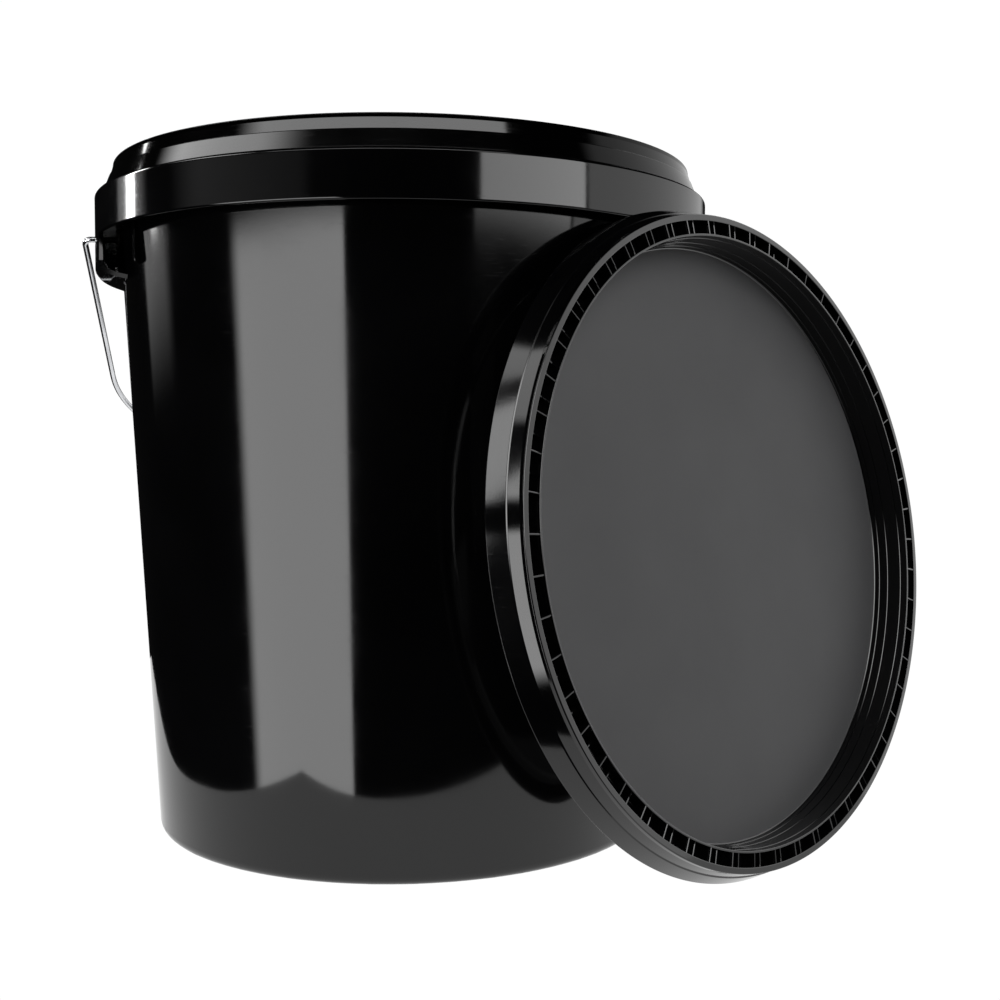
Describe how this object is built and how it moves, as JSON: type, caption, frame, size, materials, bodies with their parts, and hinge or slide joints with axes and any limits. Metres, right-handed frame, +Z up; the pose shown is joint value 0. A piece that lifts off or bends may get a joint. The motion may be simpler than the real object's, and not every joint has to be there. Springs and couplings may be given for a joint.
{
  "type": "plastic fermenting bucket",
  "caption": "Round tapered bucket with a hollow collar, a swinging wire bail with a hand grip, a lift-off lid, and a spare lid that leans against it.",
  "frame": {"origin": "centre of the underside of the bucket's base, on the surface it stands on", "axes": "+Z up; +X along the bail's pivot axis, from the left ear to the right ear; +Y towards the back, where the bail hangs; the spare lid leans at the front right"},
  "size_m": [0.5242, 0.4557, 0.4055],
  "materials": {
    "bucket_plastic": "gloss black moulded polypropylene",
    "lid_plastic": "gloss black moulded polypropylene, panel slightly softer",
    "grip_plastic": "satin black moulded plastic",
    "wire_steel": "bright zinc-plated steel wire",
    "seal_rubber": "soft dark rubber cord"
  },
  "bodies": {
    "bucket": {"bucket": "bucket_plastic"},
    "bail": {"bail_wire": "wire_steel"},
    "grip": {"hand_grip": "grip_plastic"},
    "fitted_lid": {"lid": "lid_plastic", "lid_seal": "seal_rubber"},
    "leaning_lid": {"spare_lid": "lid_plastic", "spare_lid_seal": "seal_rubber"}
  },
  "joints": [
    {"name": "bail_swing", "type": "hinge", "parent": "bucket", "child": "bail", "pos_m": [0, 0, 0.3646], "axis": [1, 0, 0], "range_deg": [0, 200]},
    {"name": "grip_spin", "type": "hinge", "parent": "bail", "child": "grip", "pos_m": [0, 0.17717, 0.23588], "axis": [1, 0, 0], "continuous": true},
    {"name": "lid_lift", "type": "slide", "parent": "bucket", "child": "fitted_lid", "axis": [0, 0, 1], "range_m": [0, 0.06]},
    {"name": "spare_lid_tip", "type": "hinge", "parent": "bucket", "child": "leaning_lid", "pos_m": [0.1846, -0.16058, 0], "axis": [0.7947, 0.607, 0], "range_deg": [0, 25]}
  ]
}
